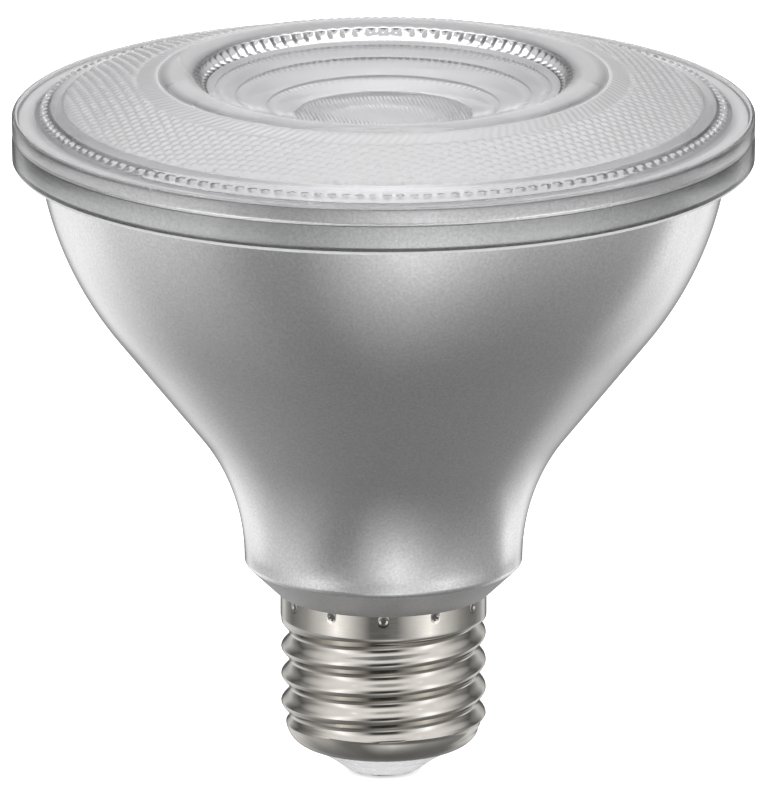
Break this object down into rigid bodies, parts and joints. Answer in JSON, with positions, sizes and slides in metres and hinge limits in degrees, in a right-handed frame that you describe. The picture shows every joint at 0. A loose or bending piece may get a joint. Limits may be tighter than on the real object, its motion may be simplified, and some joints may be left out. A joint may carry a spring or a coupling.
{
  "type": "spotlight reflector lamp",
  "caption": "LED reflector spotlight lamp: clear ridged lens with prism rings, silvered glass body, driver inside and a screw cap",
  "frame": {"origin": "tip of the centre contact, on the lamp's axis", "axes": "+Z along the lamp's axis from the cap towards the lens; X lies in the plane of the driver board"},
  "size_m": [0.095, 0.095, 0.0922],
  "materials": {
    "lens_clear": "clear moulded",
    "silvered_glass": "silvered, glossy outside",
    "silicone": "translucent",
    "aluminium": "pressed, satin",
    "thermal_pad": "matte",
    "board_white": "white solder mask",
    "phosphor": "satin",
    "screw_steel": "zinc plated",
    "lead_red": "insulated wire",
    "lead_black": "insulated wire",
    "lead_white": "insulated wire",
    "tinned_wire": "bare, tinned",
    "housing_white": "moulded",
    "adhesive": "cured",
    "circuit_board": "green solder mask",
    "capacitor_sleeve": "shrink sleeve",
    "film_case": "moulded",
    "ferrite": "fired",
    "bobbin_black": "moulded",
    "coil_tape": "tape",
    "coil_copper": "enamelled copper",
    "chip_black": "moulded",
    "resistor_body": "lacquered",
    "nickel": "nickel plated",
    "insulator_white": "moulded",
    "contact_metal": "tinned, dull"
  },
  "bodies": {
    "root": {"front_lens": "lens_clear", "glass_body": "silvered_glass", "lens_seal": "silicone", "heat_sink": "aluminium", "thermal_pad": "thermal_pad", "led_board": "board_white", "led_emitter": "phosphor", "board_screws": "screw_steel", "led_lead_positive": "lead_red", "led_lead_negative": "lead_black", "driver_housing": "housing_white", "housing_lid": "housing_white", "neck_bond": "adhesive", "driver_board": "circuit_board", "electrolytic_capacitor": "capacitor_sleeve", "film_capacitor": "film_case", "transformer_core": "ferrite", "transformer_bobbin": "bobbin_black", "transformer_winding": "coil_tape", "choke_core": "ferrite", "choke_winding": "coil_copper", "bridge_rectifier": "chip_black", "control_chip": "chip_black", "fuse_resistor": "resistor_body", "live_wire": "lead_white", "neutral_wire": "tinned_wire", "screw_shell": "nickel", "cap_insulator": "insulator_white", "centre_contact": "contact_metal"}
  },
  "joints": []
}
